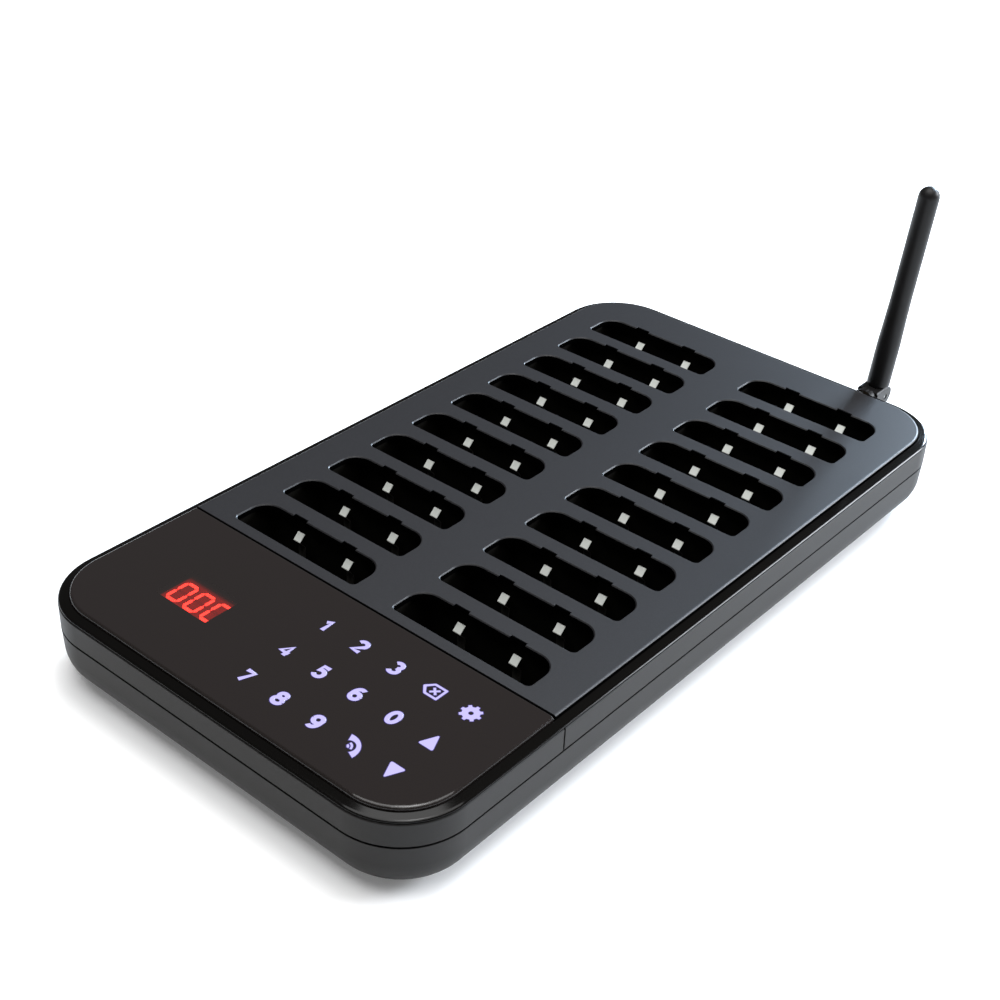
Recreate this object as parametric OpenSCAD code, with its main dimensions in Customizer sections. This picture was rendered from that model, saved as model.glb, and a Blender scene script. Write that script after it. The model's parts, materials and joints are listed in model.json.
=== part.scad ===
// Charging base and touch-keypad transmitter for twenty table pagers.
// Frame: +X to the right of the keypad, +Y towards the antenna, +Z up, in millimetres.
// The origin is on the table, below the middle of the object with its antenna.

/* [Case] */
// Width of the case, left to right
body_w = 190.6; // [189:0.2:193]
// Length of the case, keypad end to antenna end
body_l = 350.6; // [349:0.2:353]
// Height of the top face above the table
top_z = 37; // [37:0.1:38]
// Radius of the four vertical corners
corner_r = 28.5; // [27:0.5:30]
// Radius of the rounding under the lower shell
belly_r = 14; // [12:0.5:14]
// Height of the seam between lower and upper shells
split_z = 24; // [23.8:0.1:24.2]
// Wall thickness of the lower shell
shell_t = 2.4; // [2.2:0.1:2.6]

/* [Rack] */
// Distance from the middle of the case forward to the seam between rack and keypad
seam_y = 98; // [97.5:0.5:98.5]
// Distance between slot rows
row_pitch = 25; // [24.8:0.1:25]
// Distance between the two slot columns
column_pitch = 84.4; // [83.6:0.2:85.2]
// Width of one slot
slot_w = 65; // [64:0.5:66]
// Depth of one slot, front to back
slot_d = 16.5; // [16:0.1:16.8]
// Chamfer round the mouth of each slot
slot_chamfer = 0.4; // [0.3:0.1:0.8]
// Distance between the two contacts of a slot
contact_pitch = 26.8; // [26:0.2:28]

/* [Keypad] */
// Distance between key columns
key_pitch_x = 17.2; // [17:0.1:17.4]
// Distance between key rows
key_pitch_y = 19.1; // [18.5:0.1:19.5]
// Height of a display digit
digit_h = 12.2; // [11:0.1:12.5]
// Distance between display digits
digit_pitch = 9.2; // [9:0.1:9.6]

/* [Antenna] */
// Distance of the antenna socket to the right of the middle
antenna_x = 50; // [40:1:55]
// Height of the antenna socket
antenna_z = 28.5; // [28.4:0.1:28.6]
// Distance of the antenna's hinge behind the back wall
hinge_reach = 14.7; // [14.7:0.1:16]
// Length of the whip above its hinge
whip_l = 104; // [90:1:120]
// Lean of the whip towards the right, in degrees
whip_lean = 4.2; // [0:0.1:6]

/* [Hidden] */
$fn = 64;
CONTACT_COUNT = 20;
function contact_name(i) = str("contact_pair_", i < 10 ? "0" : "", i);

// Heights
foot_h = 1.5;
floor_z = foot_h + shell_t;
seam_half = 0.3;
band_top_z = top_z - 3;
bezel_z = band_top_z + 0.5;
rim_top_z = band_top_z + 1.2;
shelf_z = top_z - 2.6;
shelf_under_z = shelf_z - 1.6;
pcb_z = 6;
pcb_t = 1.6;

// Insets from the outer wall
plate_inset = 4.4;
shelf_inset = 8;
wall_t = 2.6;
lip_inset = 4.1;
rim_r = 1.5;

// Half of each gap across the seam between rack and keypad
housing_gap = 0.4;
panel_gap = 0.8;
plate_gap = 0.25;

// Whole-object placement: the case is moved forward so that the origin is under the middle
// of the case and antenna together
whip_r = 5.25;
body_y = -(hinge_reach + whip_r) / 2;
wall_y = body_l / 2;

// Rack
ROWS = 10;
slot_back_r = 8;
slot_front_r = 2;
notch_w = 7.4;
notch_d = 1.4;
rib_gap = 3;
well_play = 0.2;
well_floor_z = 10.5;
tray_wall = 1.6;
tray_floor = 1.4;
tray_top_z = shelf_z - 0.1;
ledge_z = tray_top_z - 2.1;

// Keypad
KEY_COLUMNS = 5;
KEY_ROWS = 3;
key_x0 = 0.6;
key_y0 = -154.6;
display_x = -45.2;
display_y = -136.1;
display_z = top_z - 2.9;
keypad_pcb_z = 25.4;
keypad_pcb_top = keypad_pcb_z + pcb_t;
panel_z = shelf_z + 0.2;

// Fasteners
case_screw_x = 84;
CASE_SCREW_YS = [-146, -60, 40, 140];
FOOT_XS = [-72, 72];
FOOT_YS = [-146, 0, 146];

// Sockets in the back wall
dc_x = -50;
switch_x = -20;
socket_z = antenna_z;

// ---- Shared shapes ----

function arc(cx, cy, r, a0, a1, n) =
    [for (i = [0 : n]) let (a = a0 + (a1 - a0) * i / n) [cx + r * cos(a), cy + r * sin(a)]];

// Moves a sub-part from the middle of the case to its place in the object's frame
module placed() translate([0, body_y, 0]) children();

// Sweeps a profile of [inset, height] points round the rounded rectangle of the case
module sweep(profile) {
    for (quarter = [0 : 3]) {
        sx = quarter == 0 || quarter == 3 ? 1 : -1;
        sy = quarter < 2 ? 1 : -1;
        translate([sx * (body_w / 2 - corner_r), sy * (body_l / 2 - corner_r), 0])
            rotate([0, 0, 90 * quarter])
                rotate_extrude(angle = 90) polygon([for (p = profile) [corner_r - p[0], p[1]]]);
    }
    for (m = [0, 1]) mirror([m, 0, 0])
        translate([0, body_l / 2 - corner_r, 0]) rotate([90, 0, 0])
            linear_extrude(body_l - 2 * corner_r)
                polygon([for (p = profile) [body_w / 2 - p[0], p[1]]]);
    for (m = [0, 1]) mirror([0, m, 0])
        translate([corner_r - body_w / 2, 0, 0]) rotate([90, 0, 90])
            linear_extrude(body_w - 2 * corner_r)
                polygon([for (p = profile) [body_l / 2 - p[0], p[1]]]);
}

// Flat rounded rectangle, set in from the case's outline
module slab(inset, z0, z1) {
    r = corner_r - inset;
    w = body_w - 2 * inset;
    l = body_l - 2 * inset;
    translate([0, 0, z0]) linear_extrude(z1 - z0) union() {
        square([w - 2 * r, l], center = true);
        square([w, l - 2 * r], center = true);
        for (sx = [-1, 1], sy = [-1, 1]) translate([sx * (w / 2 - r), sy * (l / 2 - r)]) circle(r);
    }
}

// Everything in front of, or behind, a line across the case
module in_front_of(y) intersection() {
    union() children();
    box_at(-body_w, body_w, -body_l, y, 0, 2 * top_z);
}
module behind(y) intersection() {
    union() children();
    box_at(-body_w, body_w, y, body_l, 0, 2 * top_z);
}

module box_at(x0, x1, y0, y1, z0, z1) translate([x0, y0, z0]) cube([x1 - x0, y1 - y0, z1 - z0]);

// A cylinder along +Y that starts at y
module along_y(x, y, z, r, h, sides = $fn)
    translate([x, y, z]) rotate([-90, 0, 0]) cylinder(r = r, h = h, $fn = sides);

module at_case_screws() for (sx = [-1, 1], y = CASE_SCREW_YS) translate([sx * case_screw_x, y, 0]) children();

// Slot positions: the middle of the slot's outline
function row_y(row) = -seam_y + 22 - slot_d / 2 + row_pitch * row;
module at_slots(side) for (row = [0 : ROWS - 1])
    translate([side * column_pitch / 2, row_y(row), 0]) children();
module at_all_slots() for (side = [-1, 1]) at_slots(side) children();
module at_contacts() for (s = [-1, 1]) translate([s * contact_pitch / 2, slot_d / 2, 0]) children();

// Outline of a slot: wide round corners at the back, small ones at the front
module slot_outline(grow) {
    rb = slot_back_r + grow;
    rf = slot_front_r + grow;
    w = slot_w / 2 + grow;
    d = slot_d / 2 + grow;
    polygon([[-w, -d + rf], [-w, d - rb], [-w + rb, d], [w - rb, d], [w, d - rb], [w, -d + rf],
             [w - rf, -d], [-w + rf, -d]]);
    for (s = [-1, 1]) {
        translate([s * (w - rb), d - rb]) circle(rb);
        translate([s * (w - rf), -d + rf]) circle(rf);
    }
}

// Flared top of a slot that makes its chamfer
module slot_flare(c) {
    h = c + 0.2;
    w = slot_w / 2;
    d = slot_d / 2;
    for (s = [-1, 1]) {
        translate([s * (w - slot_back_r), d - slot_back_r, 0])
            cylinder(r1 = slot_back_r, r2 = slot_back_r + h, h = h);
        translate([s * (w - slot_front_r), slot_front_r - d, 0])
            cylinder(r1 = slot_front_r, r2 = slot_front_r + h, h = h);
    }
    translate([0, d - slot_back_r, 0]) rotate([90, 0, 0])
        linear_extrude(2 * d - slot_back_r - slot_front_r)
            polygon([[-w, 0], [w, 0], [w + h, h], [-w - h, h]]);
    translate([slot_back_r - w, 0, 0]) rotate([90, 0, 90]) linear_extrude(2 * (w - slot_back_r))
        polygon([[0, 0], [d, 0], [d + h, h], [0, h]]);
    translate([slot_front_r - w, 0, 0]) rotate([90, 0, 90]) linear_extrude(2 * (w - slot_front_r))
        polygon([[0, 0], [-d, 0], [-d - h, h], [0, h]]);
}

// Key positions, from the lower left key
module at_keys() for (column = [0 : KEY_COLUMNS - 1], row = [0 : KEY_ROWS - 1])
    translate([key_x0 + key_pitch_x * column, key_y0 + key_pitch_y * row, 0]) children();

// ---- Case shells ----

module bottom_case() color([0.12, 0.12, 0.13]) placed() {
    draft = 0.4;
    mid = belly_r + draft;
    rim_z = split_z - seam_half;
    curve_z = foot_h + belly_r;
    profile = concat([[0, rim_z]], arc(mid, curve_z, belly_r, 180, 270, 10),
        [[mid + 6, foot_h], [mid + 6, floor_z]], arc(mid, curve_z, belly_r - shell_t, 270, 180, 10),
        [[shell_t, rim_z]]);
    difference() {
        union() {
            sweep(profile);
            slab(mid + 5, foot_h, floor_z);
            at_case_screws() translate([0, 0, floor_z - 0.3]) cylinder(r = 4, h = split_z - 0.5 - floor_z);
            at_board_posts() translate([0, 0, floor_z - 0.5]) cylinder(r = 2.6, h = pcb_z - floor_z + 0.5);
            at_radio_posts() translate([0, 0, floor_z]) cylinder(r = 2, h = radio_z - floor_z);
        }
        at_case_screws() {
            translate([0, 0, -1]) cylinder(r = 3.3, h = 8);
            cylinder(r = 1.7, h = split_z + 1);
        }
        at_board_posts() translate([0, 0, floor_z - 1]) cylinder(r = 1, h = 5);
        at_radio_posts() translate([0, 0, radio_z - 5]) cylinder(r = 1, h = 6);
        for (x = FOOT_XS, y = FOOT_YS) translate([x, y, foot_h - 1]) cylinder(r = 7.2, h = 1.9);
        box_at(-30, 30, 60, 100, foot_h - 1, foot_h + 0.25);
    }
}

// Inner edge wall of the upper shells, with the lip that drops inside the lower shell
band_profile = [[0, split_z + seam_half + 0.3], [0.3, split_z + seam_half], [0.3 + 2.4, split_z + seam_half],
    [0.3 + 2.4, split_z - 2.5], [lip_inset, split_z - 2.5], [lip_inset, split_z + 1.5], [wall_t, split_z + 3],
    [wall_t, band_top_z], [0.3, band_top_z], [0, band_top_z - 0.3]];

module pillars(y_from, y_to) for (sx = [-1, 1], y = CASE_SCREW_YS) if (y > y_from && y < y_to)
    translate([sx * case_screw_x, y, 0]) {
        translate([0, 0, split_z]) cylinder(r = 3.2, h = ledge_z - split_z);
        translate([sx > 0 ? 0 : case_screw_x - body_w / 2 + 1, -1, split_z])
            cube([body_w / 2 - case_screw_x - 1, 2, ledge_z - split_z]);
    }

module pillar_holes() at_case_screws() translate([0, 0, split_z - 1]) cylinder(r = 1.25, h = 7.5);

module rack_housing() color([0.14, 0.14, 0.15]) placed() difference() {
    behind(housing_gap - seam_y) {
        sweep(band_profile);
        pillars(-seam_y, body_l);
        intersection() {
            slab(wall_t - 1, split_z, ledge_z);
            union() {
                box_at(-body_w, body_w, -seam_y, 2.5 - seam_y, split_z, ledge_z);
                box_at(-body_w, body_w, wall_y - 12.5, wall_y, ledge_z - 2, ledge_z);
                box_at(-7, 7, -seam_y, 5.5 - seam_y, ledge_z - 3, ledge_z);
                for (side = [-1, 1])
                    box_at(min(side * 77.5, side * body_w), max(side * 77.5, side * body_w),
                        -seam_y, 5.5 - seam_y, ledge_z - 3, ledge_z);
            }
        }
    }
    pillar_holes();
    at_tray_screws() translate([0, 0, ledge_z - 4]) cylinder(r = 0.9, h = 6);
    along_y(antenna_x, wall_y - 14, socket_z, 3.1, 20);
    along_y(dc_x, wall_y - 18, socket_z, dc_r + 0.1, 22);
    box_at(switch_x - 6.6, switch_x + 6.6, wall_y - 18, wall_y + 1, socket_z - 3.6, socket_z + 3.6);
    box_at(antenna_x - 7, antenna_x + 7, wall_y - 14, wall_y - wall_t, split_z - 3, shelf_under_z);
    box_at(dc_x - 6, dc_x + 6, wall_y - 18, wall_y - wall_t, split_z - 3, shelf_under_z);
    box_at(switch_x - 8, switch_x + 8, wall_y - 18, wall_y - wall_t, split_z - 3, shelf_under_z);
}

module keypad_housing() color([0.13, 0.13, 0.13]) placed() difference() {
    in_front_of(-housing_gap - seam_y) {
        sweep(band_profile);
        pillars(-body_l, -seam_y);
        intersection() {
            slab(wall_t - 1, split_z, ledge_z);
            union() {
                box_at(-body_w, body_w, -seam_y - 2.5, -seam_y, split_z, ledge_z);
                for (y = KEYPAD_BEAM_YS) box_at(-body_w, body_w, y - 3, y + 3, split_z, keypad_pcb_z);
            }
        }
    }
    pillar_holes();
    box_at(ribbon_x - 1, ribbon_x + ribbon_w + 1, KEYPAD_BEAM_YS[1] - 4, KEYPAD_BEAM_YS[1] + 4, split_z - 1,
        keypad_pcb_z + 1);
    at_keypad_screws() translate([0, 0, split_z - 3]) cylinder(r = 1, h = 8);
}

// Gloss rim that carries the rack plate and the touch panel
module bezel() color([0.03, 0.03, 0.03]) placed() {
    centre_z = rim_top_z - rim_r;
    lip_angle = asin((bezel_z - centre_z) / rim_r);
    sweep(concat(arc(rim_r, centre_z, rim_r, 180 - lip_angle, 92, 6),
        [[plate_inset - 0.2, rim_top_z + 0.3], [plate_inset - 0.2, shelf_z], [shelf_inset, shelf_z],
         [shelf_inset, shelf_under_z], [wall_t + 0.1, shelf_under_z], [wall_t + 0.1, band_top_z],
         [1, band_top_z], [1, bezel_z]]));
}

// ---- Rack ----

module rack_plate() color([0.2, 0.2, 0.22]) placed() difference() {
    behind(plate_gap - seam_y) {
        sweep(concat([[plate_inset, shelf_z]], arc(plate_inset + 1, top_z - 1, 1, 180, 90, 5),
            [[20, top_z], [20, shelf_z]]));
        slab(19, shelf_z, top_z);
    }
    at_all_slots() {
        translate([0, 0, shelf_z - 1]) linear_extrude(5) slot_outline(0);
        translate([0, 0, top_z - slot_chamfer]) slot_flare(slot_chamfer);
        at_contacts() box_at(-notch_w / 2, notch_w / 2, -1, notch_d, shelf_z - 1, top_z + 1);
    }
}

// Two tray screws at each end of each tray: beside the middle, and out towards the side wall
tray_screw_far_x = 81;
module at_tray_screws() for (side = [-1, 1]) {
    for (x = [4.5, tray_screw_far_x]) translate([side * x, 3 - seam_y, 0]) children();
    for (x = [4.5, 66]) translate([side * x, wall_y - 10.5, 0]) children();
}

// Tray below one slot column: a floor, two side walls, a rib between every two wells and a rim to
// screw it down by; the wells are a little larger than the mouths above them
module slot_tray(side) color([0.06, 0.06, 0.06]) placed() difference() {
    inner = column_pitch / 2 - slot_w / 2 - well_play;
    outer = column_pitch / 2 + slot_w / 2 + well_play;
    front = row_y(0) - slot_d / 2 - 0.8;
    back = row_y(ROWS - 1) + slot_d / 2 + rib_gap + tray_wall;
    bottom = well_floor_z - tray_floor;
    mirror([side < 0 ? 1 : 0, 0, 0]) {
        box_at(inner - tray_wall, outer + tray_wall, front - tray_wall, back, bottom, well_floor_z);
        for (x = [inner - tray_wall, outer])
            box_at(x, x + tray_wall, front - tray_wall, back, bottom, tray_top_z);
        box_at(inner, outer, front - tray_wall, front, bottom, tray_top_z);
        for (row = [0 : ROWS - 1])
            translate([0, row_y(row) + slot_d / 2, 0])
                box_at(inner, outer, rib_gap, rib_gap + tray_wall, bottom, tray_top_z);
        intersection() {
            slab(shelf_inset + 0.3, tray_top_z - 2, tray_top_z);
            difference() {
                box_at(1, body_w, 0.7 - seam_y, body_l, 0, top_z);
                box_at(inner - 0.1, outer + 0.1, front - 0.1, back - 0.1, 0, top_z);
            }
        }
    }
    at_slots(side) at_contacts() box_at(-2.6, 2.6, -3.2, rib_gap - 0.1, bottom - 1, well_floor_z + 1);
    at_tray_screws() {
        translate([0, 0, tray_top_z - 5]) cylinder(r = 1.3, h = 9);
        translate([0, 0, tray_top_z - 1]) cylinder(r = 2.4, h = 3);
    }
}
module slot_tray_left() slot_tray(-1);
module slot_tray_right() slot_tray(1);

// Leaf contacts: up the channel, forward to a knee, back to the tip
leaf_t = 0.4;
leaf_w = 3.7;
pad_h = 0.3;
leaf_foot_z = pcb_z + pcb_t + pad_h + 0.02;
knee = [-2.1, top_z - 9.8];
tip = [0.5, top_z - 7.2];
leaf_path = [[0.6, leaf_foot_z], [0.6, knee[1] - 3.2], knee, tip];

module contact_pair(i) color([0.8, 0.8, 0.78]) placed() {
    side = i > ROWS ? 1 : -1;
    row = i > ROWS ? i - ROWS - 1 : i - 1;
    translate([side * column_pitch / 2, row_y(row), 0]) at_contacts()
        translate([-leaf_w / 2, 0, 0]) rotate([90, 0, 90]) linear_extrude(leaf_w)
            polygon(concat(leaf_path, [for (k = [len(leaf_path) - 1 : -1 : 0]) leaf_path[k] + [leaf_t, 0]]));
}

// ---- Keypad ----

module touch_panel() color([0.04, 0.04, 0.04]) placed() in_front_of(-panel_gap - seam_y) {
    sweep(concat([[plate_inset, panel_z]], arc(plate_inset + 1.2, top_z - 1.2, 1.2, 180, 90, 6),
        [[20, top_z], [20, panel_z]]));
    slab(19, panel_z, top_z);
}

module panel_adhesive() color("white") placed() in_front_of(-panel_gap - 0.3 - seam_y) difference() {
    slab(plate_inset + 0.3, shelf_z, panel_z);
    slab(shelf_inset - 0.3, shelf_z - 1, panel_z + 1);
}

window_w = 27;
window_d = 17.4;
film_t = 0.3;
module display_filter() color([0.3, 0.02, 0.02]) placed()
    translate([display_x - window_w / 2, display_y - window_d / 2, panel_z - film_t])
        cube([window_w, window_d, film_t]);

// One seven-segment digit as flat hexagons, height h above z = 0
seg_t = 1.5;
module segment(length) {
    end = length / 2;
    side = seg_t / 2;
    polygon([[-end, 0], [side - end, side], [end - side, side], [end, 0], [end - side, -side],
             [side - end, -side]]);
}
module digit(h) linear_extrude(h) {
    half = (digit_h - seg_t) / 2;
    across = 5.6;
    for (y = [-half, 0, half]) translate([0, y]) segment(across - 0.2);
    for (x = [-across / 2, across / 2], y = [-half / 2, half / 2])
        translate([x, y]) rotate(90) segment(half - 0.2);
}
module digits(h) translate([display_x, display_y, 0])
    for (k = [-1 : 1]) translate([k * digit_pitch, 0, 0]) digit(h);

module display_module() color([0.1, 0.1, 0.1]) placed() difference() {
    translate([display_x - 15, display_y - 8, keypad_pcb_top]) cube([30, 16, display_z - keypad_pcb_top]);
    translate([0, 0, display_z - 0.6]) digits(2);
}
module display_segments() color([1, 0.25, 0.2]) placed() translate([0, 0, display_z - 0.6]) digits(0.6);

// A plate under all the keys, reaching a margin past the middles of the outer ones
module keys_box(margin, z0, z1)
    box_at(key_x0 - margin, key_x0 + key_pitch_x * (KEY_COLUMNS - 1) + margin,
        key_y0 - margin, key_y0 + key_pitch_y * (KEY_ROWS - 1) + margin, z0, z1);

module touch_film() color([0.75, 0.6, 0.3]) placed() difference() {
    keys_box(9, panel_z - film_t, panel_z);
    at_keys() translate([0, 0, panel_z - 1]) cylinder(r = 4.6, h = 2);
}

module light_shroud() color([0.15, 0.15, 0.15]) placed() difference() {
    union() {
        at_keys() translate([0, 0, keypad_pcb_top]) cylinder(r = 6.4, h = panel_z - 0.4 - keypad_pcb_top);
        keys_box(2, keypad_pcb_top + 2, keypad_pcb_top + 3.2);
    }
    at_keys() translate([0, 0, keypad_pcb_top - 1]) cylinder(r = 5.2, h = 12);
}

module key_leds() color("white") placed()
    at_keys() translate([-1.6, -1.4, keypad_pcb_top]) cube([3.2, 2.8, 1.9]);

KEYPAD_BEAM_YS = [-167, -107.5];
module at_keypad_screws() for (x = [-60, 75.5], y = KEYPAD_BEAM_YS) translate([x, y, 0]) children();
module keypad_pcb() color([0.05, 0.3, 0.15]) placed() difference() {
    union() {
        intersection() {
            slab(5, keypad_pcb_z, keypad_pcb_top);
            box_at(-64, 79.5, -170, -104.5, 0, top_z);
        }
        box_at(-46, -38, -127, -119, keypad_pcb_top, keypad_pcb_top + 1.6);
        box_at(-60, -48, -120, -110, keypad_pcb_top, keypad_pcb_top + 2);
        box_at(ribbon_x, ribbon_x + ribbon_w, -119, -114, keypad_pcb_z - 2, keypad_pcb_z);
    }
    at_keypad_screws() translate([0, 0, keypad_pcb_z - 1]) cylinder(r = 1.3, h = 5);
}

module buzzer() color([0.08, 0.08, 0.08]) placed() translate([-22, -158, keypad_pcb_top]) difference() {
    cylinder(r = 6, h = 6.5);
    translate([0, 0, 3]) cylinder(r = 1, h = 5);
}

// ---- Boards and wiring ----

BOARD_YS = [-85, 27, 139];
module at_board_posts() {
    for (side = [-1, 1], y = BOARD_YS, dx = [-29, 29])
        translate([side * column_pitch / 2 + dx, y - 1, 0]) children();
    for (x = [-46, 46], y = [-155, -112]) translate([x, y, 0]) children();
}

module post_holes() at_board_posts() translate([0, 0, pcb_z - 1]) cylinder(r = 1.3, h = 5);

// Board under one slot column, with a raised pad below every contact
module charging_pcb(side) color([0.05, 0.3, 0.15]) placed() difference() {
    union() {
        box_at(side * column_pitch / 2 - 33, side * column_pitch / 2 + 33, -96, 156, pcb_z, pcb_z + pcb_t);
        at_slots(side) at_contacts() box_at(-2.4, 2.4, -1, 2.2, pcb_z + pcb_t, pcb_z + pcb_t + pad_h);
    }
    post_holes();
}
module charging_pcb_left() charging_pcb(-1);
module charging_pcb_right() charging_pcb(1);

module main_pcb() color([0.05, 0.3, 0.15]) placed() difference() {
    union() {
        box_at(-52, 52, -160, -106, pcb_z, pcb_z + pcb_t);
        box_at(-10, 0, -140, -130, pcb_z + pcb_t, pcb_z + pcb_t + 1.4);
        box_at(20, 32, -148, -136, pcb_z + pcb_t, pcb_z + pcb_t + 9);
        box_at(ribbon_x - 1, ribbon_x + ribbon_w + 1, -115, -110, pcb_z + pcb_t, pcb_z + pcb_t + 3);
        translate([-30, -145, pcb_z + pcb_t]) cylinder(r = 4, h = 11);
        translate([-30, -125, pcb_z + pcb_t]) cylinder(r = 4, h = 11);
    }
    post_holes();
}

radio_z = 20;
radio_y = wall_y - 16.5;
module at_radio_posts() {
    translate([15, radio_y + 5.5, 0]) children();
    translate([35.5, radio_y + 2.6, 0]) children();
}
module radio_module() color([0.6, 0.6, 0.62]) placed() difference() {
    union() {
        box_at(12, 38, radio_y, radio_y + 11, radio_z, radio_z + 1);
        box_at(18, 30, radio_y + 1, radio_y + 10, radio_z + 1, radio_z + 3.4);
    }
    at_radio_posts() translate([0, 0, radio_z - 1]) cylinder(r = 1.2, h = 5);
}

// A round lead through a list of points, drawn as cylinders with a slightly fuller ball at each bend
module lead(points, r) for (k = [0 : len(points) - 2]) {
    a = points[k];
    d = points[k + 1] - a;
    translate(a) rotate([0, acos(d[2] / norm(d)), atan2(d[1], d[0])]) cylinder(r = r, h = norm(d));
    if (k > 0) translate(a) sphere(r * 1.12);
}

COAX_ROUTE = [[33, radio_y + 8, radio_z + 1.7], [43, radio_y + 2, 23], [antenna_x - 1, radio_y, socket_z - 1],
    [antenna_x, wall_y - 11.5, socket_z]];
module coax_pigtail() color([0.15, 0.12, 0.1]) placed() lead(COAX_ROUTE, 0.7);

function lead_route(x_start, y_start, x_run) = [[x_start, y_start, 26.5], [x_start, y_start - 3.5, 23],
    [x_run, wall_y - 17, 15], [x_run, 100, 10], [x_run, 3 - seam_y, 10], [x_run, -5 - seam_y, 8.6]];
POWER_ROUTE = lead_route(dc_x, wall_y - 14.8, -3);
SWITCH_ROUTE = lead_route(switch_x, wall_y - 12.8, 3);
// Two pairs of leads, from the socket and from the switch, that end in one plug on the main board
module power_leads() color([0.6, 0.05, 0.05]) placed() {
    for (dx = [-1, 1]) {
        lead([for (p = POWER_ROUTE) p + [dx, 0, 0]], 0.6);
        lead([for (p = SWITCH_ROUTE) p + [dx, 0, 0]], 0.6);
    }
    box_at(-6, 6, -10 - seam_y, -5 - seam_y, pcb_z + pcb_t + 0.05, pcb_z + pcb_t + 3);
}

// Flat cable from the main board up behind the keypad board to its underside
ribbon_x = 14;
ribbon_w = 14;
module ribbon_cable() color([0.85, 0.85, 0.82]) placed() translate([ribbon_x, 0, 0])
    rotate([90, 0, 90]) linear_extrude(ribbon_w)
        polygon([[-109.9, 9.2], [-101.8, 9.2], [-101.8, 21.4], [-104.5, 24.4], [-113.9, 24.8], [-113.9, 24.5],
                 [-104.7, 24.1], [-102.1, 21.2], [-102.1, 9.5], [-109.9, 9.5]]);

// ---- Antenna ----

pivot = [antenna_x, wall_y + hinge_reach, antenna_z];
nut_y = wall_y + 2.2;
coupling_y = nut_y + 0.2;
base_y = coupling_y + 3.4;

module sma_jack() color([0.8, 0.65, 0.3]) placed() difference() {
    union() {
        along_y(antenna_x, wall_y - 11, socket_z, 3.05, 18);
        along_y(antenna_x, wall_y - wall_t - 2, socket_z, 4, 2, 6);
    }
    along_y(antenna_x, wall_y + 3, socket_z, 2.3, 5);
}

module sma_nut() color([0.8, 0.65, 0.3]) placed() difference() {
    along_y(antenna_x, wall_y + 0.02, socket_z, 4.4, 2.1, 6);
    along_y(antenna_x, wall_y - 1, socket_z, 3.07, 5);
}

coupling_r = 5.8;
module antenna_coupling() color([0.1, 0.1, 0.1]) placed() difference() {
    along_y(antenna_x, coupling_y, socket_z, coupling_r, 3.2);
    along_y(antenna_x, coupling_y - 1, socket_z, 3.08, 6);
    for (a = [0 : 20 : 340]) translate([antenna_x, coupling_y - 1, socket_z]) rotate([0, a, 0])
        translate([coupling_r - 0.2, 0, -0.2]) cube([0.5, 6, 0.4]);
}

// The tongue and the whip stand upright about the pivot before they are leaned
module at_pivot() translate(pivot) rotate([0, whip_lean, 0]) children();

// A block ends in two round cheeks, which hold the whip's tongue between them
tongue_w = 4;
tongue_r = 4.9;
tongue_play = 0.2;
cheek_r = 5;
block_w = 10.4;
block_l = pivot[1] - base_y;
pin_r = 1.25;
module antenna_base() color([0.08, 0.08, 0.08]) placed() difference() {
    intersection() {
        at_pivot() {
            rotate([0, 90, 0]) cylinder(r = cheek_r, h = block_w, center = true);
            translate([-block_w / 2, -block_l, -cheek_r]) cube([block_w, block_l, 2 * cheek_r]);
        }
        along_y(antenna_x, base_y, socket_z, 6.7, 2 * block_l);
    }
    along_y(antenna_x, base_y - 1, socket_z, 3.25, 2.6);
    at_pivot() {
        rotate([0, 90, 0]) cylinder(r = pin_r + 0.05, h = 30, center = true);
        translate([-tongue_w / 2 - tongue_play, -tongue_r - 0.5, -20])
            cube([tongue_w + 2 * tongue_play, 40, 40]);
    }
}

pin_l = 9.6;
module hinge_pin() color([0.7, 0.7, 0.7]) placed()
    at_pivot() rotate([0, 90, 0]) cylinder(r = pin_r, h = pin_l, center = true);

// Whip: flat tongue, thick foot, slender sheath, domed tip
sheath_r = 4.68;
element_r = 1.6;
shoulder_z = 5.6;
element_z = 9;
element_l = whip_l - 20;
module antenna_whip() color([0.08, 0.08, 0.08]) placed() at_pivot() difference() {
    union() {
        rotate([0, 90, 0]) cylinder(r = tongue_r, h = tongue_w, center = true);
        translate([-tongue_w / 2, -tongue_r, 0]) cube([tongue_w, 2 * tongue_r, shoulder_z + 1]);
        rotate_extrude() polygon(concat([[0, shoulder_z], [whip_r, shoulder_z], [whip_r, 27],
            [whip_r - 0.2, 33], [sheath_r + 0.1, 44], [sheath_r, 50]],
            arc(0, whip_l - sheath_r, sheath_r, 0, 90, 8)));
    }
    rotate([0, 90, 0]) cylinder(r = pin_r, h = pin_l, center = true);
    translate([0, 0, element_z]) cylinder(r = element_r, h = element_l + 1);
}

module antenna_element() color([0.75, 0.55, 0.25]) placed()
    at_pivot() translate([0, 0, element_z]) cylinder(r = element_r, h = element_l);

// ---- Sockets and switch in the back wall ----

dc_r = 3.6;
module dc_jack() color([0.1, 0.1, 0.1]) placed() {
    difference() {
        union() {
            along_y(dc_x, wall_y - 14, socket_z, dc_r, 15);
            along_y(dc_x, wall_y + 0.02, socket_z, 4.1, 1.4);
        }
        along_y(dc_x, wall_y - 10, socket_z, 2.75, 20);
    }
    along_y(dc_x, wall_y - 11, socket_z, 1, 9.5);
}

module dc_jack_nut() color([0.7, 0.7, 0.7]) placed() difference() {
    along_y(dc_x, wall_y - wall_t - 2.1, socket_z, 4.7, 2, 6);
    along_y(dc_x, wall_y - 12, socket_z, dc_r + 0.02, 15);
}

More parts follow.
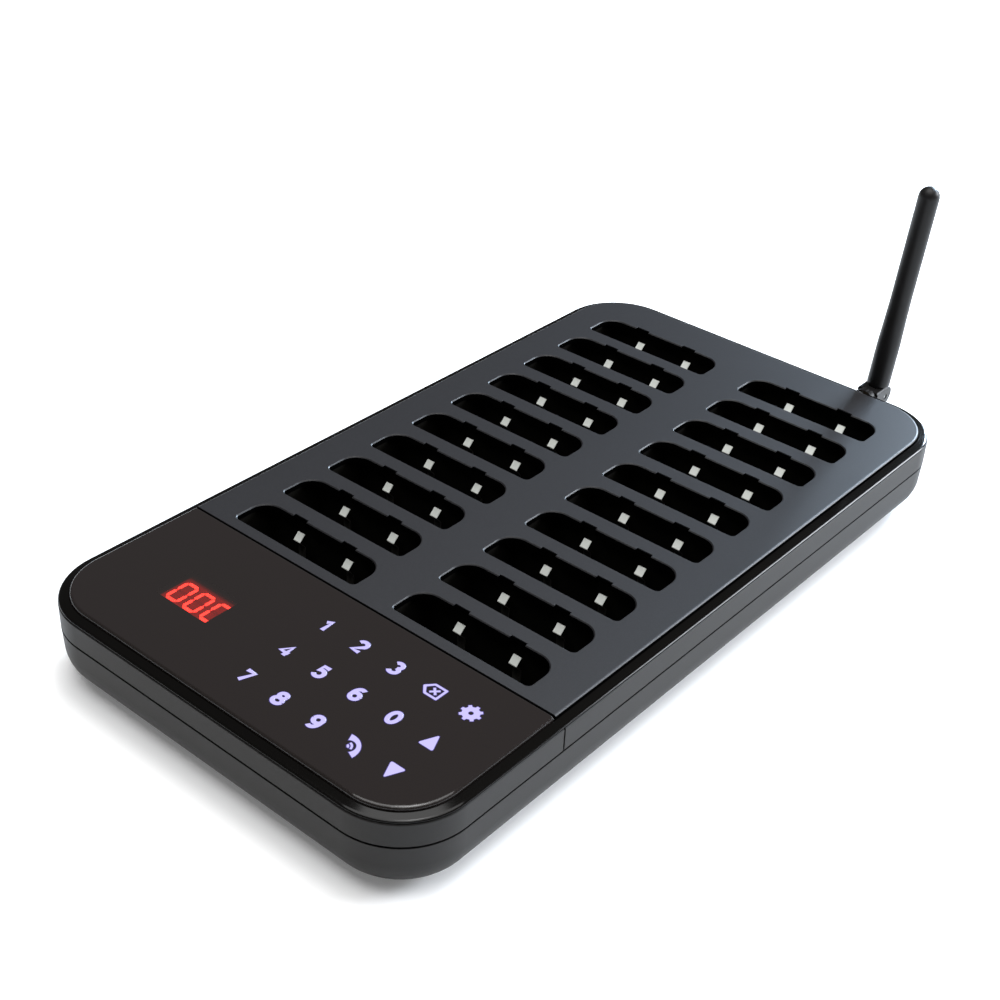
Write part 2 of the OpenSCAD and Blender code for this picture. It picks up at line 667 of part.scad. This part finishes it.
module switch_body() color([0.08, 0.08, 0.08]) placed() difference() {
    union() {
        box_at(switch_x - 6.5, switch_x + 6.5, wall_y - 12, wall_y + 0.5, socket_z - 3.5, socket_z + 3.5);
        box_at(switch_x - 7.6, switch_x + 7.6, wall_y + 0.02, wall_y + 1.2, socket_z - 4.1, socket_z + 4.1);
    }
    box_at(switch_x - 5.6, switch_x + 5.6, wall_y - 5, wall_y + 2, socket_z - 2.7, socket_z + 2.7);
    translate([switch_x, wall_y - rocker_depth, socket_z]) cylinder(r = 0.85, h = 6.2, center = true);
}

// The rocker lies tipped by its half travel, pivoting on a vertical axis inside the body
rocker_tip = 9;
rocker_depth = 1.6;
module switch_rocker() color([0.05, 0.05, 0.05]) placed()
    translate([switch_x, wall_y - rocker_depth, socket_z]) rotate([0, 0, -rocker_tip])
        union() {
            translate([0, 0, -2.4]) linear_extrude(4.8)
                polygon([[-4.9, 2.6], [0, 1.9], [4.9, 2.6], [4.6, 0.4], [1.5, -1.6], [-1.5, -1.6],
                         [-4.6, 0.4]]);
            cylinder(r = 0.8, h = 6, center = true);
        }

// ---- Feet, fasteners, label ----

module rubber_feet() color([0.1, 0.1, 0.1]) placed()
    for (x = FOOT_XS, y = FOOT_YS) translate([x, y, 0]) cylinder(r = 7, h = foot_h + 0.88);

// Pan-head screw, head down or head up, with its tip at the other end
module screw(head_r, head_h, shank_r, shank_l) {
    difference() {
        cylinder(r = head_r, h = head_h);
        for (a = [0, 90]) rotate([0, 0, a])
            translate([-head_r * 0.6, -0.25, -1]) cube([head_r * 1.2, 0.5, 1.7]);
    }
    translate([0, 0, head_h - 0.01]) cylinder(r = shank_r, h = shank_l);
}

module case_screws() color([0.5, 0.5, 0.5]) placed()
    at_case_screws() translate([0, 0, 5]) screw(3, 2, 1.2, 22);
module pcb_screws() color([0.75, 0.75, 0.75]) placed() {
    at_board_posts() translate([0, 0, pcb_z + pcb_t + 1.4]) mirror([0, 0, 1]) screw(2.3, 1.4, 0.95, 4.6);
    at_keypad_screws() translate([0, 0, keypad_pcb_top + 1.4]) mirror([0, 0, 1]) screw(2.3, 1.4, 0.95, 4.6);
    at_radio_posts() translate([0, 0, radio_z + 2.4]) mirror([0, 0, 1]) screw(1.9, 1.4, 0.95, 4.6);
}
module tray_screws() color([0.75, 0.75, 0.75]) placed() at_tray_screws()
    translate([0, 0, tray_top_z]) mirror([0, 0, 1]) screw(2.2, 1, 0.88, 3.6);
module rating_label() color([0.75, 0.75, 0.75]) placed()
    box_at(-29.5, 29.5, 60.5, 99.5, foot_h + 0.05, foot_h + 0.25);

// ---- Drawing ----

bottom_case();
rack_housing();
keypad_housing();
bezel();
rack_plate();
slot_tray_left();
slot_tray_right();
touch_panel();
panel_adhesive();
display_filter();
display_module();
display_segments();
touch_film();
light_shroud();
key_leds();
keypad_pcb();
buzzer();
charging_pcb_left();
charging_pcb_right();
main_pcb();
radio_module();
coax_pigtail();
power_leads();
ribbon_cable();
sma_jack();
sma_nut();
antenna_coupling();
antenna_base();
hinge_pin();
antenna_whip();
antenna_element();
dc_jack();
dc_jack_nut();
switch_body();
switch_rocker();
rubber_feet();
case_screws();
pcb_screws();
tray_screws();
rating_label();
for (i = [1 : CONTACT_COUNT]) contact_pair(i);
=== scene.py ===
import json
import math

import bmesh
import bpy
from mathutils import Matrix, Vector

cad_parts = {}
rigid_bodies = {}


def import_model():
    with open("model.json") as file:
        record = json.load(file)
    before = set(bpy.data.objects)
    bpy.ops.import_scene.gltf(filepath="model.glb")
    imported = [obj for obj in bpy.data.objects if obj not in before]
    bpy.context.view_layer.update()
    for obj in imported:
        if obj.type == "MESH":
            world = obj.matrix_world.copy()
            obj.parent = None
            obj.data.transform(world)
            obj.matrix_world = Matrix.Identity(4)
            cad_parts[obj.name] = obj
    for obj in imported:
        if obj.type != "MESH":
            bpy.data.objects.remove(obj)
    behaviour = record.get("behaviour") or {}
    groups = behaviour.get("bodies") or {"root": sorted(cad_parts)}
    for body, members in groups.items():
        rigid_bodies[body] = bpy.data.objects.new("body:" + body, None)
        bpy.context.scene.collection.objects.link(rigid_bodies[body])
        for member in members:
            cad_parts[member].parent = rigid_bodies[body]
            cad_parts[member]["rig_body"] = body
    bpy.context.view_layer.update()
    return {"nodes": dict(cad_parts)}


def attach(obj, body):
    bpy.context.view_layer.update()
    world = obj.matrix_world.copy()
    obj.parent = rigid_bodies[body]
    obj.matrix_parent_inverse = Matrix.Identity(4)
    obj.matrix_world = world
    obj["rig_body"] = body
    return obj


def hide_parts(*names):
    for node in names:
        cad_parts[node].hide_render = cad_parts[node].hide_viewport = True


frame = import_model()
scene = bpy.context.scene
nodes = frame["nodes"]

MM = 0.001
# The case is set forward in the row frame by half of what the antenna sticks out
CASE_Y = -9.975
PANEL_TOP = 37.0
# The plate is painted black below this height, as painted shade on the walls down in the slots
SLOT_SHADE_TOP = 36.45


def case_point(x, y, z):
    """A point given in millimetres from the middle of the case, in the row frame in metres."""
    return Vector((x, y + CASE_Y, z)) * MM


# ---- Camera ----

# Place in metres, and the directions of the picture's right side and depth
CAMERA_AT = Vector((0.33362, -0.44074, 0.39207))
CAMERA_RIGHT = Vector((0.75787, 0.65118, 0.04000))
CAMERA_FORWARD = Vector((-0.52797, 0.64818, -0.54874))
LENS_MM = 58.13


def add_camera():
    forward = CAMERA_FORWARD.normalized()
    right = (CAMERA_RIGHT - forward * CAMERA_RIGHT.dot(forward)).normalized()
    up = right.cross(forward)
    data = bpy.data.cameras.new("camera")
    data.lens = LENS_MM
    data.sensor_width = 36.0
    data.clip_start = 0.01
    camera = bpy.data.objects.new("camera", data)
    turn = Matrix((right, up, -forward)).transposed().to_4x4()
    camera.matrix_world = Matrix.Translation(CAMERA_AT) @ turn
    scene.collection.objects.link(camera)
    scene.camera = camera


# ---- Materials ----

def new_material(name):
    material = bpy.data.materials.new(name)
    material.use_nodes = True
    return material, material.node_tree, material.node_tree.nodes["Principled BSDF"]


GRAIN_SCALE = 2500.0


def plastic(name, color, roughness, grain=0.0, speckle=0.0, edge=0.0, coat=0.0, metallic=0.0, specular=0.5):
    """A principled surface with a fine grain and, where edge is above 0, edges softened over edge mm."""
    material, tree, shader = new_material(name)
    shader.inputs["Base Color"].default_value = (*color, 1.0)
    shader.inputs["Roughness"].default_value = roughness
    shader.inputs["Metallic"].default_value = metallic
    shader.inputs["Specular IOR Level"].default_value = specular
    shader.inputs["Coat Weight"].default_value = coat
    shader.inputs["Coat Roughness"].default_value = 0.04
    normal = None
    if edge > 0:
        bevel = tree.nodes.new("ShaderNodeBevel")
        bevel.samples = 4
        bevel.inputs["Radius"].default_value = edge * MM
        normal = bevel.outputs["Normal"]
    if grain > 0 or speckle > 0:
        place = tree.nodes.new("ShaderNodeTexCoord")
        noise = tree.nodes.new("ShaderNodeTexNoise")
        noise.inputs["Scale"].default_value = GRAIN_SCALE
        noise.inputs["Detail"].default_value = 2.0
        tree.links.new(place.outputs["Object"], noise.inputs["Vector"])
    if grain > 0:
        bump = tree.nodes.new("ShaderNodeBump")
        bump.inputs["Strength"].default_value = grain
        bump.inputs["Distance"].default_value = 0.05 * MM
        tree.links.new(noise.outputs["Fac"], bump.inputs["Height"])
        if normal:
            tree.links.new(normal, bump.inputs["Normal"])
        normal = bump.outputs["Normal"]
    if speckle > 0:
        ramp = tree.nodes.new("ShaderNodeValToRGB")
        ramp.color_ramp.elements[0].position = 0.40
        ramp.color_ramp.elements[0].color = tuple(c * (1 - speckle) for c in color) + (1.0,)
        ramp.color_ramp.elements[1].position = 0.62
        ramp.color_ramp.elements[1].color = tuple(c * (1 + speckle) for c in color) + (1.0,)
        tree.links.new(noise.outputs["Fac"], ramp.inputs["Fac"])
        tree.links.new(ramp.outputs["Color"], shader.inputs["Base Color"])
    if normal:
        tree.links.new(normal, shader.inputs["Normal"])
    return material


def glow(name, color, strength):
    """A surface that gives off its own light."""
    material, tree, shader = new_material(name)
    shader.inputs["Base Color"].default_value = (0.0, 0.0, 0.0, 1.0)
    shader.inputs["Roughness"].default_value = 0.3
    shader.inputs["Emission Color"].default_value = (*color, 1.0)
    shader.inputs["Emission Strength"].default_value = strength
    return material


def math_node(tree, operation, a, b):
    """A maths node; a and b are sockets or numbers."""
    node = tree.nodes.new("ShaderNodeMath")
    node.operation = operation
    for index, value in enumerate((a, b)):
        if isinstance(value, (int, float)):
            node.inputs[index].default_value = value
        else:
            tree.links.new(value, node.inputs[index])
    return node.outputs[0]


def own_axes(tree):
    """Sockets that give the shaded point's X, Y and Z in the object's own frame, in metres."""
    place = tree.nodes.new("ShaderNodeTexCoord")
    split = tree.nodes.new("ShaderNodeSeparateXYZ")
    tree.links.new(place.outputs["Object"], split.inputs[0])
    return split.outputs


def inside_rectangle(tree, centre, half):
    """1 inside a rectangle of the object's own X and Y, 0 outside it."""
    own = own_axes(tree)
    result = None
    for axis in (0, 1):
        offset = math_node(tree, "SUBTRACT", own[axis], centre[axis])
        near = math_node(tree, "LESS_THAN", math_node(tree, "ABSOLUTE", offset, 0.0), half[axis])
        result = near if result is None else math_node(tree, "MULTIPLY", result, near)
    return result


def below_height(tree, height):
    """1 lower than a height in millimetres, 0 above it."""
    return math_node(tree, "LESS_THAN", own_axes(tree)[2], height * MM)


def blacken(material, mask):
    """Takes away nearly all of a material's colour and sheen where mask is 1."""
    tree = material.node_tree
    shader = tree.nodes["Principled BSDF"]
    color = shader.inputs["Base Color"]
    mix = tree.nodes.new("ShaderNodeMix")
    mix.data_type = "RGBA"
    tree.links.new(mask, mix.inputs["Factor"])
    color_a, color_b = [socket for socket in mix.inputs if socket.type == "RGBA"]
    color_a.default_value = color.default_value
    if color.is_linked:
        tree.links.new(color.links[0].from_socket, color_a)
    color_b.default_value = (0.001, 0.001, 0.001, 1.0)
    mixed = [socket for socket in mix.outputs if socket.type == "RGBA"]
    tree.links.new(mixed[0], color)
    sheen = shader.inputs["Specular IOR Level"]
    kept = math_node(tree, "SUBTRACT", 1.0, mask)
    tree.links.new(math_node(tree, "MULTIPLY", kept, sheen.default_value), sheen)


DIGIT_PITCH = 9.2
# The contact leaf turns from its upright leg into its sloping face at this height
KNEE_Z = 27.2
KNEE_BLEND = 0.25
# The leaf's own plated colour, and the near black painted as shade on its leg down in the slot
CONTACT_BRIGHT = (0.62, 0.64, 0.60)
CONTACT_PAINTED_SHADE = (0.045, 0.042, 0.038)
DISPLAY_AT = case_point(-45.2, -136.1, 0)
WINDOW_HALF = (13.5 * MM, 8.7 * MM)
# Half the row of lit digits, and how far their light spreads over the display's face
DIGITS_HALF = (12.6 * MM, 6.0 * MM)
GLOW_REACH = 1.3 * MM


def panel_material():
    """Gloss touch panel, printed dark behind except at the display window."""
    material = plastic("panel_gloss", (0.012, 0.0094, 0.0086), 0.07, edge=0.5, specular=0.4)
    tree = material.node_tree
    printed = tree.nodes["Principled BSDF"]
    clear = tree.nodes.new("ShaderNodeBsdfTransparent")
    clear.inputs["Color"].default_value = (0.72, 0.62, 0.60, 1.0)
    window = tree.nodes.new("ShaderNodeAddShader")
    tree.links.new(printed.outputs[0], window.inputs[0])
    tree.links.new(clear.outputs[0], window.inputs[1])
    final = tree.nodes.new("ShaderNodeMixShader")
    tree.links.new(inside_rectangle(tree, DISPLAY_AT, WINDOW_HALF), final.inputs["Fac"])
    tree.links.new(printed.outputs[0], final.inputs[1])
    tree.links.new(window.outputs[0], final.inputs[2])
    tree.links.new(final.outputs[0], tree.nodes["Material Output"].inputs["Surface"])
    return material


def filter_material():
    """Clear red film with a faint gloss."""
    material, tree, shader = new_material("red_filter")
    shader.inputs["Base Color"].default_value = (0.3, 0.01, 0.01, 1.0)
    shader.inputs["Roughness"].default_value = 0.06
    clear = tree.nodes.new("ShaderNodeBsdfTransparent")
    clear.inputs["Color"].default_value = (0.95, 0.35, 0.30, 1.0)
    final = tree.nodes.new("ShaderNodeMixShader")
    final.inputs["Fac"].default_value = 0.05
    tree.links.new(clear.outputs[0], final.inputs[1])
    tree.links.new(shader.outputs[0], final.inputs[2])
    tree.links.new(final.outputs[0], tree.nodes["Material Output"].inputs["Surface"])
    return material


def segment_material():
    """Lit segments, with the middle bar of every digit left dark."""
    material, tree, shader = new_material("red_segments")
    shader.inputs["Base Color"].default_value = (0.25, 0.02, 0.02, 1.0)
    shader.inputs["Emission Color"].default_value = (1.0, 0.19, 0.16, 1.0)
    bars = None
    for column in (-1, 0, 1):
        centre = DISPLAY_AT + Vector((column * DIGIT_PITCH * MM, 0, 0))
        bar = inside_rectangle(tree, centre, (2.35 * MM, 0.9 * MM))
        bars = bar if bars is None else math_node(tree, "ADD", bars, bar)
    lit = math_node(tree, "SUBTRACT", 1.0, math_node(tree, "MULTIPLY", bars, 0.985))
    tree.links.new(math_node(tree, "MULTIPLY", lit, 5.5), shader.inputs["Emission Strength"])
    return material


def display_material():
    """Dark face of the display, with red light that fades away from the row of digits."""
    material, tree, shader = new_material("display_black")
    shader.inputs["Base Color"].default_value = (0.02, 0.014, 0.014, 1.0)
    shader.inputs["Emission Color"].default_value = (0.9, 0.07, 0.05, 1.0)
    own = own_axes(tree)
    squares = []
    for axis, half in enumerate(DIGITS_HALF):
        signed = math_node(tree, "SUBTRACT", own[axis], DISPLAY_AT[axis])
        offset = math_node(tree, "ABSOLUTE", signed, 0.0)
        outside = math_node(tree, "MAXIMUM", math_node(tree, "SUBTRACT", offset, half), 0.0)
        squares.append(math_node(tree, "POWER", math_node(tree, "DIVIDE", outside, GLOW_REACH), 2.0))
    distance = math_node(tree, "ADD", squares[0], squares[1])
    fade = math_node(tree, "POWER", 0.4, distance)
    tree.links.new(math_node(tree, "MULTIPLY", fade, 0.42), shader.inputs["Emission Strength"])
    return material


def contact_material():
    """Plated leaf in its own bright colour on the sloping face, with painted shade on its upright leg,
    which is coloured near black below the knee.
    """
    material = plastic("contact_metal", CONTACT_BRIGHT, 0.42, metallic=0.25)
    tree = material.node_tree
    ramp = tree.nodes.new("ShaderNodeValToRGB")
    ramp.color_ramp.elements[0].position = 0.0
    ramp.color_ramp.elements[0].color = (*CONTACT_PAINTED_SHADE, 1.0)
    ramp.color_ramp.elements[1].position = 1.0
    ramp.color_ramp.elements[1].color = (*CONTACT_BRIGHT, 1.0)
    # Painted shade: the base colour ramps from the plated colour down to near black below the knee
    above = math_node(tree, "SUBTRACT", own_axes(tree)[2], KNEE_Z * MM)
    tree.links.new(math_node(tree, "DIVIDE", above, KNEE_BLEND * MM), ramp.inputs["Fac"])
    tree.links.new(ramp.outputs["Color"], tree.nodes["Principled BSDF"].inputs["Base Color"])
    return material


case_matte = plastic("case_plastic", (0.007, 0.0063, 0.006), 0.5, grain=0.35, edge=0.3, specular=0.22)
rim_gloss = plastic("gloss_rim", (0.002, 0.0017, 0.0014), 0.10, edge=0.35, specular=0.2)
plate_matte = plastic("plate_plastic", (0.010, 0.0096, 0.0108), 0.42, grain=0.35, speckle=0.15, edge=0.2,
                      specular=0.36)
# Painted shade: low on the plate, down the slot walls, its colour and sheen are taken out to near black
blacken(plate_matte, below_height(plate_matte.node_tree, SLOT_SHADE_TOP))
tray_black = plastic("tray_plastic", (0.0035, 0.003, 0.002), 0.9, specular=0.08)
black_plastic = plastic("black_plastic", (0.018, 0.018, 0.018), 0.4, edge=0.2)
display_black = display_material()
antenna_black = plastic("antenna_black", (0.007, 0.0065, 0.0065), 0.42, grain=0.15, edge=0.3, specular=0.18)
foot_rubber = plastic("foot_rubber", (0.02, 0.02, 0.02), 0.8, grain=0.5)
steel = plastic("tinned_steel", (0.6, 0.6, 0.6), 0.3, metallic=1.0)
contact_metal = contact_material()
gold = plastic("gold_brass", (0.8, 0.55, 0.22), 0.25, metallic=1.0)
board_green = plastic("circuit_board", (0.02, 0.15, 0.06), 0.35, coat=0.4)
film_amber = plastic("sensor_film", (0.55, 0.38, 0.16), 0.2)
foam_white = plastic("adhesive_foam", (0.65, 0.65, 0.65), 0.8)
led_white = plastic("led_white", (0.85, 0.85, 0.75), 0.3)
wire_red = plastic("red_insulation", (0.42, 0.02, 0.02), 0.45)
wire_white = plastic("white_insulation", (0.75, 0.75, 0.72), 0.5)
label_grey = plastic("label_film", (0.5, 0.5, 0.5), 0.45)

LOOKS = {
    "bottom_case": case_matte, "rack_housing": case_matte, "keypad_housing": case_matte, "bezel": rim_gloss,
    "rack_plate": plate_matte, "slot_tray_left": tray_black, "slot_tray_right": tray_black,
    "touch_panel": panel_material(), "panel_adhesive": foam_white, "display_filter": filter_material(),
    "display_module": display_black, "display_segments": segment_material(), "touch_film": film_amber,
    "light_shroud": black_plastic, "key_leds": led_white, "keypad_pcb": board_green,
    "buzzer": black_plastic,
    "charging_pcb_left": board_green, "charging_pcb_right": board_green, "main_pcb": board_green,
    "radio_module": steel, "coax_pigtail": black_plastic, "power_leads": wire_red,
    "ribbon_cable": wire_white,
    "sma_jack": gold, "sma_nut": gold, "antenna_coupling": antenna_black, "antenna_base": antenna_black,
    "hinge_pin": steel, "antenna_whip": antenna_black, "antenna_element": gold, "dc_jack": black_plastic,
    "dc_jack_nut": steel, "switch_body": black_plastic, "switch_rocker": black_plastic,
    "rubber_feet": foot_rubber, "case_screws": steel, "pcb_screws": steel, "tray_screws": steel,
    "rating_label": label_grey,
}


def dress_nodes():
    """Gives every CAD node its material; the nodes not listed are the contact pairs."""
    for name, node in nodes.items():
        node.data.materials.clear()
        node.data.materials.append(LOOKS.get(name, contact_metal))


# ---- Smoothly shaded skins over the nodes with curved faces ----

SKINNED = ["bottom_case", "rack_housing", "keypad_housing", "bezel", "rack_plate", "touch_panel",
           "antenna_base", "antenna_whip", "antenna_coupling"]
SHARP_ANGLE = math.radians(32)


def add_skin(name):
    """Stands in for a CAD node with the same faces, shaded smooth wherever they meet at a small angle."""
    mesh = nodes[name].data.copy()
    if "custom_normal" in mesh.attributes:
        mesh.attributes.remove(mesh.attributes["custom_normal"])
    shape = bmesh.new()
    shape.from_mesh(mesh)
    bmesh.ops.remove_doubles(shape, verts=shape.verts, dist=1e-6)
    for face in shape.faces:
        face.smooth = True
    for edge in shape.edges:
        edge.smooth = len(edge.link_faces) == 2 and edge.calc_face_angle() < SHARP_ANGLE
    shape.to_mesh(mesh)
    shape.free()
    skin = bpy.data.objects.new(name + "_skin", mesh)
    scene.collection.objects.link(skin)
    weighted = skin.modifiers.new("weighted", "WEIGHTED_NORMAL")
    weighted.keep_sharp = True
    weighted.weight = 100
    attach(skin, nodes[name]["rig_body"])
    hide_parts(name)


# ---- Key symbols and their glow ----

KEY_X = 0.6
KEY_Y = -116.3
KEY_PITCH = (17.2, 19.1)
KEY_ROWS = [
    ["1", "2", "3", "backspace", "gear"],
    ["4", "5", "6", "0", "up"],
    ["7", "8", "9", "call", "down"],
]
symbol_white = glow("symbol_light", (0.60, 0.55, 1.0), 1.05)
symbol_rim = glow("symbol_rim", (0.10, 0.07, 0.42), 0.55)


def circle_points(radius, count=24, centre=(0.0, 0.0)):
    angles = [2 * math.pi * i / count for i in range(count)]
    return [(centre[0] + radius * math.cos(a), centre[1] + radius * math.sin(a)) for a in angles]


def rounded(points, radius, steps=6):
    """A polygon with its convex corners rounded by points along quadratic curves."""
    loop = []
    for i, corner in enumerate(points):
        before = Vector(points[i - 1])
        after = Vector(points[(i + 1) % len(points)])
        here = Vector(corner)
        start = here + (before - here).normalized() * radius
        end = here + (after - here).normalized() * radius
        for k in range(steps + 1):
            t = k / steps
            loop.append(tuple(start * (1 - t) ** 2 + here * 2 * t * (1 - t) + end * t ** 2))
    return loop


def order_round(centre, points):
    """The points in order of their angle round centre."""
    return sorted(points, key=lambda p: math.atan2(p[1] - centre[1], p[0] - centre[0]))


def gear_loops():
    """Eight teeth round a hole."""
    outline = []
    for tooth in range(8):
        for step, radius in ((-0.30, 3.2), (-0.17, 4.1), (0.17, 4.1), (0.30, 3.2)):
            angle = 2 * math.pi * (tooth + step) / 8
            outline.append((radius * math.cos(angle), radius * math.sin(angle)))
    return [outline, circle_points(0.95)]


def backspace_loops():
    """An arrow-shaped frame round a cross."""
    def pentagon(inset):
        left = -4.4 + inset * 1.5
        return [(left, 0), (-1.5 + inset * 0.4, 3.3 - inset), (4.3 - inset, 3.3 - inset),
                (4.3 - inset, inset - 3.3), (-1.5 + inset * 0.4, inset - 3.3)]
    cross = []
    arm, half = 1.9, 0.45
    for quarter in range(4):
        turn = Matrix.Rotation(math.radians(45 + 90 * quarter), 2)
        for x, y in ((half, half), (arm, half), (arm, -half)):
            point = turn @ Vector((x, y))
            cross.append((point.x + 0.9, point.y))
    return [rounded(pentagon(0.0), 0.5), rounded(pentagon(0.95), 0.3), order_round((0.9, 0.0), cross)]


def band(centre, radius, start, end, half_width, steps=20):
    """A closed loop along an arc; half_width(t) gives its half width at t from 0 to 1."""
    outer, inner = [], []
    for k in range(steps + 1):
        t = k / steps
        angle = math.radians(start + (end - start) * t)
        direction = Vector((math.cos(angle), math.sin(angle)))
        outer.append(tuple(Vector(centre) + direction * (radius + half_width(t))))
        inner.append(tuple(Vector(centre) + direction * (radius - half_width(t))))
    return outer + inner[::-1]


def call_loops():
    """A curved handset with two arcs beside it."""
    centre = (-1.9, -1.9)
    handset = band(centre, 4.6, 112, -22, lambda t: 0.75 + 0.75 * abs(2 * t - 1) ** 2)
    waves = [band(centre, radius, 84, 6, lambda t: 0.38) for radius in (1.1, 2.35)]
    return [handset] + waves


def triangle_loops(direction):
    """A rounded triangle that points up for 1 and down for -1."""
    foot = -3.4 * direction
    return [rounded([(-3.3, foot), (3.3, foot), (0, 3.9 * direction)], 1.1)]


SYMBOLS = {"gear": gear_loops(), "backspace": backspace_loops(), "call": call_loops(),
           "up": triangle_loops(1), "down": triangle_loops(-1)}


def flat_outline(name, loops, grow):
    """A filled flat figure from closed loops in millimetres; loops inside others are holes."""
    curve = bpy.data.curves.new(name, "CURVE")
    curve.dimensions = "2D"
    curve.fill_mode = "BOTH"
    curve.offset = grow * MM
    for loop in loops:
        spline = curve.splines.new("POLY")
        spline.points.add(len(loop) - 1)
        for point, (x, y) in zip(spline.points, loop):
            point.co = (x * MM, y * MM, 0.0, 1.0)
        spline.use_cyclic_u = True
    return curve


def ellipse(centre, radii, start, end, steps=20):
    """Points along part of an ellipse, from start to end in degrees."""
    angles = [math.radians(start + (end - start) * k / steps) for k in range(steps + 1)]
    return [(centre[0] + radii[0] * math.cos(a), centre[1] + radii[1] * math.sin(a)) for a in angles]


# Middle lines of the numerals' strokes, in millimetres from the middle of the key
SIX = [ellipse((0, -1.15), (1.75, 1.7), 0, 360), ellipse((0.3, 0), (2.05, 2.85), 62, 195)]
NUMERALS = {
    "0": [ellipse((0, 0), (1.75, 2.85), 0, 360, 28)],
    "1": [[(0.5, -2.85), (0.5, 2.85), (-1.2, 1.5)]],
    "2": [ellipse((0, 1.25), (1.75, 1.6), 165, -35) + [(-1.75, -2.8), (1.85, -2.8)]],
    "3": [ellipse((-0.1, 1.4), (1.6, 1.45), 150, -80), ellipse((-0.1, -1.3), (1.85, 1.55), 80, -150)],
    "4": [[(0.9, -2.85), (0.9, 2.7), (-1.9, -1.1), (2.1, -1.1)]],
    "5": [[(1.6, 2.8), (-1.1, 2.8), (-1.5, 0.2)] + ellipse((-0.1, -1.0), (1.85, 1.85), 128, -150)],
    "6": SIX,
    "7": [[(-1.8, 2.8), (1.85, 2.8), (-0.5, -2.85)]],
    "8": [ellipse((0, 1.5), (1.5, 1.35), 0, 360), ellipse((0, -1.3), (1.85, 1.55), 0, 360)],
    "9": [[(-x, -y) for x, y in line] for line in SIX],
}
STROKE = 1.7


def stroked(name, lines, grow):
    """Round strokes along lines given in millimetres; the piece is flattened when it is placed."""
    curve = bpy.data.curves.new(name, "CURVE")
    curve.dimensions = "3D"
    curve.bevel_depth = (STROKE / 2 + grow) * MM
    curve.bevel_resolution = 2
    curve.use_fill_caps = True
    for line in lines:
        spline = curve.splines.new("POLY")
        spline.points.add(len(line) - 1)
        for point, (x, y) in zip(spline.points, line):
            point.co = (x * MM, y * MM, 0.0, 1.0)
    return curve


RIM_GROW = 0.24


def add_symbol(label, at):
    """A lit symbol on the panel, over a slightly wider violet rim."""
    layers = (("rim", RIM_GROW, 0.01, symbol_rim), ("light", 0.0, 0.04, symbol_white))
    for part, grow, lift, material in layers:
        name = f"key_{label}_{part}"
        loops = SYMBOLS.get(label)
        curve = flat_outline(name, loops, grow) if loops else stroked(name, NUMERALS[label], grow)
        curve.materials.append(material)
        piece = bpy.data.objects.new(name, curve)
        piece.location = at + Vector((0, 0, lift * MM))
        piece.scale.z = 0.01
        scene.collection.objects.link(piece)
        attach(piece, "base")


def add_symbols():
    for row, labels in enumerate(KEY_ROWS):
        for column, label in enumerate(labels):
            at = case_point(KEY_X + KEY_PITCH[0] * column, KEY_Y - KEY_PITCH[1] * row, PANEL_TOP)
            add_symbol(label, at)


# ---- Stage and lights ----

def add_floor():
    bpy.ops.mesh.primitive_plane_add(size=12, location=(0, 0, 0))
    floor = bpy.context.object
    floor.name = "floor"
    material, tree, shader = new_material("floor")
    shader.inputs["Base Color"].default_value = (0.9, 0.9, 0.9, 1.0)
    shader.inputs["Roughness"].default_value = 0.9
    shader.inputs["Specular IOR Level"].default_value = 0.1
    shader.inputs["Emission Color"].default_value = (1.0, 1.0, 1.0, 1.0)
    shader.inputs["Emission Strength"].default_value = 0.15
    floor.data.materials.append(material)


def add_softbox(name, at, target, size, power, color=(1.0, 1.0, 1.0)):
    data = bpy.data.lights.new(name, "AREA")
    data.shape = "RECTANGLE"
    data.size, data.size_y = size
    data.energy = power
    data.color = color
    light = bpy.data.objects.new(name, data)
    light.location = at
    light.rotation_euler = (Vector(target) - Vector(at)).to_track_quat("-Z", "Y").to_euler()
    scene.collection.objects.link(light)


def add_lights():
    """A dim room with two soft lights overhead and two bluish ones low behind the object."""
    world = bpy.data.worlds.new("world")
    world.use_nodes = True
    world.node_tree.nodes["Background"].inputs["Color"].default_value = (0.95, 0.97, 1.0, 1.0)
    world.node_tree.nodes["Background"].inputs["Strength"].default_value = 0.12
    scene.world = world
    add_softbox("overhead", (0.0, 0.0, 2.4), (0, 0, 0), (2.6, 2.6), 84)
    add_softbox("streak", (0.0, 0.2, 2.2), (0, 0, 0), (0.6, 0.6), 14)
    add_softbox("back", (0.0, 2.0, 0.8), (0.05, 0.1, 0.0), (0.7, 0.5), 86, (0.66, 0.82, 1.0))
    add_softbox("side", (1.1, 1.5, 0.76), (0.05, 0.1, 0.0), (0.9, 0.6), 52, (0.88, 0.93, 1.0))


scene.view_settings.view_transform = "Standard"
add_camera()
dress_nodes()
for skinned in SKINNED:
    add_skin(skinned)
add_symbols()
add_floor()
add_lights()
